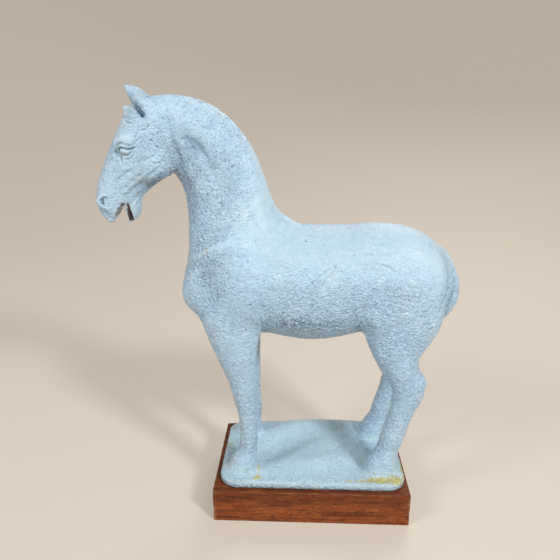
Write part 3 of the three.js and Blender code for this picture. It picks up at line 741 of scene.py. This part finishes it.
horse, horse_low, horse_high = model_horse()
paint = blue_paint()
run_geometry_tree(horse, brushed_skin_tree(), {
    "Crease depth": 0.5 * MM, "Crease length": 9.0 * MM,
    "Ledge length": 3.2 * MM, "Ledge spacing": 2.1 * MM, "Ledge slope": STREAK_SLOPE,
    "Crumb height": 3.6 * MM, "Crumb size": 2.3 * MM, "Wander": 16 * MM,
    "Seed": 5, "Material": paint,
})
triangles = sum(len(p.vertices) - 2 for p in horse.data.polygons)
with_modifier(horse, "DECIMATE", ratio=HORSE_TRIANGLES / triangles)
move_points(horse.data, points_of(horse.data).clip(horse_low, horse_high))
colour_marks(horse.data)
horse.data.shade_smooth()
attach(horse, "root")
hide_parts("horse")

# The wooden block
# One short length of dark brown hardwood, its grain along the horse's length. It was planed,
# oiled and has rubbed pale along its edges, with its pores left open.
BLOCK_EDGE = 1.6 * MM
EDGE_ROWS = 5
GRAIN_STEP = 0.9 * MM
LENGTH_STEP = 3.0 * MM
SHARED_ROW = 1e-7


def lines(low, high, step, edge):
    """Grid lines from low to high, closer together over the rounded edges."""
    middle = np.linspace(low + edge, high - edge, round((high - low - 2 * edge) / step) + 1)
    rounding = edge * (1 - np.cos(np.linspace(0, math.pi / 2, EDGE_ROWS)[:-1]))
    return np.r_[low + rounding, middle, (high - rounding)[::-1]]


def grid_block(low, high, steps, edge, name):
    """A block with rounded edges, meshed as one grid on each face, its shared rows merged."""
    grids = [lines(start, end, step, edge) for start, end, step in zip(low, high, steps)]
    shell = bmesh.new()
    for axis in range(3):
        u, v = [(1, 2), (2, 0), (0, 1)][axis]
        for side in (0, 1):
            rows = []
            for a in grids[u]:
                row = []
                for b in grids[v]:
                    corner = [0.0, 0.0, 0.0]
                    corner[axis] = high[axis] if side else low[axis]
                    corner[u], corner[v] = a, b
                    row.append(shell.verts.new(corner))
                rows.append(row)
            for first, second in zip(rows, rows[1:]):
                for k in range(len(first) - 1):
                    face = [first[k], second[k], second[k + 1], first[k + 1]]
                    shell.faces.new(face if side else face[::-1])
    bmesh.ops.remove_doubles(shell, verts=shell.verts, dist=SHARED_ROW)
    mesh = bpy.data.meshes.new(name)
    shell.to_mesh(mesh)
    shell.free()
    points = points_of(mesh)
    inner = points.clip(np.array(low) + edge, np.array(high) - edge)
    away = points - inner
    length = np.linalg.norm(away, axis=1, keepdims=True).clip(1e-12)
    far = np.abs(away).max(1, keepdims=True)
    move_points(mesh, inner + away / length * far)
    return link(bpy.data.objects.new(name, mesh))


WOOD_SEED_STEP = 3.7
CHIP_RATE = 160


def worn_wood_tree():
    """Open grain sunk into the faces, and the edges rubbed down unevenly."""
    tree, wires = new_geometry_tree("Worn wood", [
        ("Grain depth", "NodeSocketFloat"), ("Grain width", "NodeSocketFloat"),
        ("Grain length", "NodeSocketFloat"), ("Edge wear", "NodeSocketFloat"),
        ("Seed", "NodeSocketInt"), ("Material", "NodeSocketMaterial"),
    ])
    start = Wire(tree)
    place = start.node("GeometryNodeInputPosition")
    normal = start.node("GeometryNodeInputNormal")
    edge = named_attribute(start, "edge")
    size = start.node("ShaderNodeCombineXYZ", (), {
        0: wires["Grain length"], 1: wires["Grain width"], 2: wires["Grain width"]})
    cells = place.vector("DIVIDE", place, size)
    seed = wires["Seed"] * WOOD_SEED_STEP
    open_grain = cells.noise(1, 2, 0.6, W=seed).within(0.5, 0.36)
    chips = place.noise(CHIP_RATE, 3, 0.6, W=seed + 5).within(0.42, 0.7)
    sink = open_grain * wires["Grain depth"] + chips * edge * wires["Edge wear"]
    end_geometry_tree(tree, pushed_out(start, wires["Geometry"], normal, sink * -1))
    return tree


# The wood's colours, and how far its bands and pores run along X
DARK_BAND = (0.075, 0.016, 0.004, 1)
RED_BAND = (0.27, 0.062, 0.014, 1)
PORE_BROWN = (0.035, 0.010, 0.004, 1)
GOLDEN_FIBRE = (0.42, 0.16, 0.045, 1)
TOP_DARK_WOOD = (0.06, 0.012, 0.004, 1)
RUBBED_WOOD = (0.40, 0.20, 0.09, 1)
BAND_STRETCH = (0.05, 1, 1)
PORE_STRETCH = (0.16, 1, 1)
BAND_RATE = 260
PORE_RATE = 1100
FIBRE_RATE = 900
BAND_SWAY = 0.012
DARKER_HEIGHTS = (20 * MM, 36 * MM)
WOOD_RELIEF = 0.25 * MM


def brown_hardwood():
    """Reddish-brown hardwood with dark bands and open pores along X, rubbed pale on its edges."""
    material, place, shader = new_material("brown hardwood", 0.5, Specular_IOR_Level=0.25)
    edge = place.node("ShaderNodeAttribute", {"attribute_name": "edge"}, out=2)
    along = place.vector("MULTIPLY", place, BAND_STRETCH)
    swayed = along.vector("ADD", along, place.noise(9, 2, 0.5) * BAND_SWAY)
    bands = swayed.noise(BAND_RATE, 5, 0.65)
    pores_at = place.vector("MULTIPLY", place, PORE_STRETCH)
    open_pores = pores_at.noise(PORE_RATE, 2, 0.6).within(0.48, 0.34)
    fibres = along.noise(FIBRE_RATE, 2, 0.6).within(0.5, 0.66)
    fibres = fibres * place.noise(60, 2, 0.5).within(0.4, 0.6)

    banded = bands.within(0.3, 0.62).blended(DARK_BAND, RED_BAND)
    pored = (open_pores * 0.8).blended(banded, PORE_BROWN)
    golden = (fibres * 0.5).blended(pored, GOLDEN_FIBRE)
    height = place.node("ShaderNodeSeparateXYZ", (), {0: place}, out=2)
    # Darker towards the top of the block, just under the ground
    upper = (height.within(*DARKER_HEIGHTS) * 0.4).blended(golden, TOP_DARK_WOOD)
    wear = edge * place.noise(70, 3, 0.6).within(0.4, 0.62)
    rubbed = (wear * 0.7).blended(upper, RUBBED_WOOD)
    roughness = 0.42 + 0.2 * bands + 0.15 * open_pores
    finish_material(place, shader, rubbed, roughness, bands * 0.3 - open_pores, WOOD_RELIEF)
    return material


# How far wear reaches in from the upright edges and from the others, and how much these get
UPRIGHT_WEAR = 4.5 * MM
LEVEL_WEAR = 2.5 * MM
LEVEL_SHARE = 0.35

block_low, block_high = (np.array(corner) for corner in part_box("wood_plinth"))
block_steps = (LENGTH_STEP, GRAIN_STEP, GRAIN_STEP)
plinth = grid_block(block_low, block_high, block_steps, BLOCK_EDGE, "hardwood_block")
places = points_of(plinth.data)
from_faces = np.minimum(places - block_low, block_high - places)
upright_edges = ramp(from_faces[:, :2].max(1), UPRIGHT_WEAR, 0)
all_edges = ramp(np.sort(from_faces, axis=1)[:, 1], LEVEL_WEAR, 0)
set_attribute(plinth.data, "edge", np.maximum(upright_edges, LEVEL_SHARE * all_edges))
run_geometry_tree(plinth, worn_wood_tree(), {
    "Grain depth": 0.22 * MM, "Grain width": 1.7 * MM, "Grain length": 22 * MM,
    "Edge wear": 0.8 * MM, "Seed": 3, "Material": brown_hardwood(),
})
plinth.data.shade_smooth()
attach(plinth, "root")
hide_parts("wood_plinth")

# The studio
# A plain pale floor, matt and faintly glowing so that the shadows stay soft. It curves up far
# out into a plain pale wall all round, under three soft round lamps in a pale room.
FLOOR_MIDDLE = 0.4
FLOOR_FLAT = 1.6
FLOOR_RISE = 2.4
FLOOR_TURNS = 96
FLOOR_BENDS = 13
FLOOR_PALE = (0.42, 0.385, 0.335, 1)
FLOOR_GLOW = (1.0, 0.87, 0.74, 1)
FLOOR_GLOW_STRENGTH = 0.26
ROOM_LIGHT = (1.0, 0.97, 0.93, 1)
ROOM_STRENGTH = 0.15
LIT_POINT = (-0.03, 0, 0.28)

# The lamps: name, place in metres, size, power and colour
LAMPS = [
    ("window_right", (1.5, -1.75, 1.9), 0.5, 63, (1.0, 1.0, 0.99)),
    ("fill_behind", (0.7, 1.9, 1.9), 1.0, 20, (1.0, 0.97, 0.94)),
    ("fill_left", (-1.6, -1.2, 1.7), 0.8, 26, (1.0, 1.0, 1.0)),
]


def studio_floor():
    """Rings of one lathed sheet, from the middle of the floor to the top of the wall."""
    bend = np.linspace(0, math.pi / 2, FLOOR_BENDS)[1:]
    profile = [(FLOOR_MIDDLE, 0), (FLOOR_FLAT, 0)]
    profile += [(FLOOR_FLAT + FLOOR_RISE * math.sin(t), FLOOR_RISE * (1 - math.cos(t)))
                for t in bend]
    angles = np.linspace(0, 2 * math.pi, FLOOR_TURNS, endpoint=False)
    points = [(0, 0, 0)]
    points += [(r * math.cos(a), r * math.sin(a), h) for r, h in profile for a in angles]
    faces = [(0, 1 + k, 1 + (k + 1) % FLOOR_TURNS) for k in range(FLOOR_TURNS)]
    for row in range(len(profile) - 1):
        for k in range(FLOOR_TURNS):
            a = 1 + row * FLOOR_TURNS + k
            b = 1 + row * FLOOR_TURNS + (k + 1) % FLOOR_TURNS
            faces.append((a, a + FLOOR_TURNS, b + FLOOR_TURNS, b))
    mesh = bpy.data.meshes.new("studio_floor")
    mesh.from_pydata(points, [], faces)
    mesh.update()
    mesh.shade_smooth()
    material, _, shader = new_material("pale floor", 0.6)
    shader.inputs["Base Color"].default_value = FLOOR_PALE
    shader.inputs["Emission Color"].default_value = FLOOR_GLOW
    shader.inputs["Emission Strength"].default_value = FLOOR_GLOW_STRENGTH
    mesh.materials.append(material)
    floor = link(bpy.data.objects.new("studio_floor", mesh))


def soft_light(name, place, size, power, colour):
    lamp = bpy.data.lights.new(name, "AREA")
    lamp.shape = "DISK"
    lamp.size = size
    lamp.energy = power
    lamp.color = colour
    light = link(bpy.data.objects.new(name, lamp))
    light.location = place
    aim = Vector(LIT_POINT) - Vector(place)
    light.rotation_euler = aim.to_track_quat("-Z", "Y").to_euler()


studio_floor()
for lamp in LAMPS:
    soft_light(*lamp)
world = bpy.data.worlds.new("pale room")
world.use_nodes = True
world.node_tree.nodes["Background"].inputs["Color"].default_value = ROOM_LIGHT
world.node_tree.nodes["Background"].inputs["Strength"].default_value = ROOM_STRENGTH
bpy.context.scene.world = world
bpy.context.scene.view_settings.view_transform = "Standard"

# The camera
# It stands about 0.7 m in front of the horse's left side, a little to the left, and looks down
# at it. Its place was worked out from the block's edges, its angles are in radians, and its
# lens is as long as its sensor is wide.
CAMERA_PLACE = (-20.228 * MM, -672.055 * MM, 513.102 * MM)
CAMERA_PITCH = 0.3054
CAMERA_YAW = -0.0342
CAMERA_ROLL = 0.0039
SENSOR = 36.0

camera_data = bpy.data.cameras.new("camera")
camera_data.lens = SENSOR
camera_data.sensor_width = SENSOR
camera = link(bpy.data.objects.new("camera", camera_data))
ahead = Vector((math.sin(CAMERA_YAW) * math.cos(CAMERA_PITCH),
                math.cos(CAMERA_YAW) * math.cos(CAMERA_PITCH), -math.sin(CAMERA_PITCH)))
level = Vector((math.cos(CAMERA_YAW), -math.sin(CAMERA_YAW), 0))
above = level.cross(ahead)
right = level * math.cos(CAMERA_ROLL) + above * math.sin(CAMERA_ROLL)
up = above * math.cos(CAMERA_ROLL) - level * math.sin(CAMERA_ROLL)
turn = Matrix((right, up, -ahead)).transposed().to_4x4()
camera.matrix_world = Matrix.Translation(CAMERA_PLACE) @ turn
bpy.context.scene.camera = camera
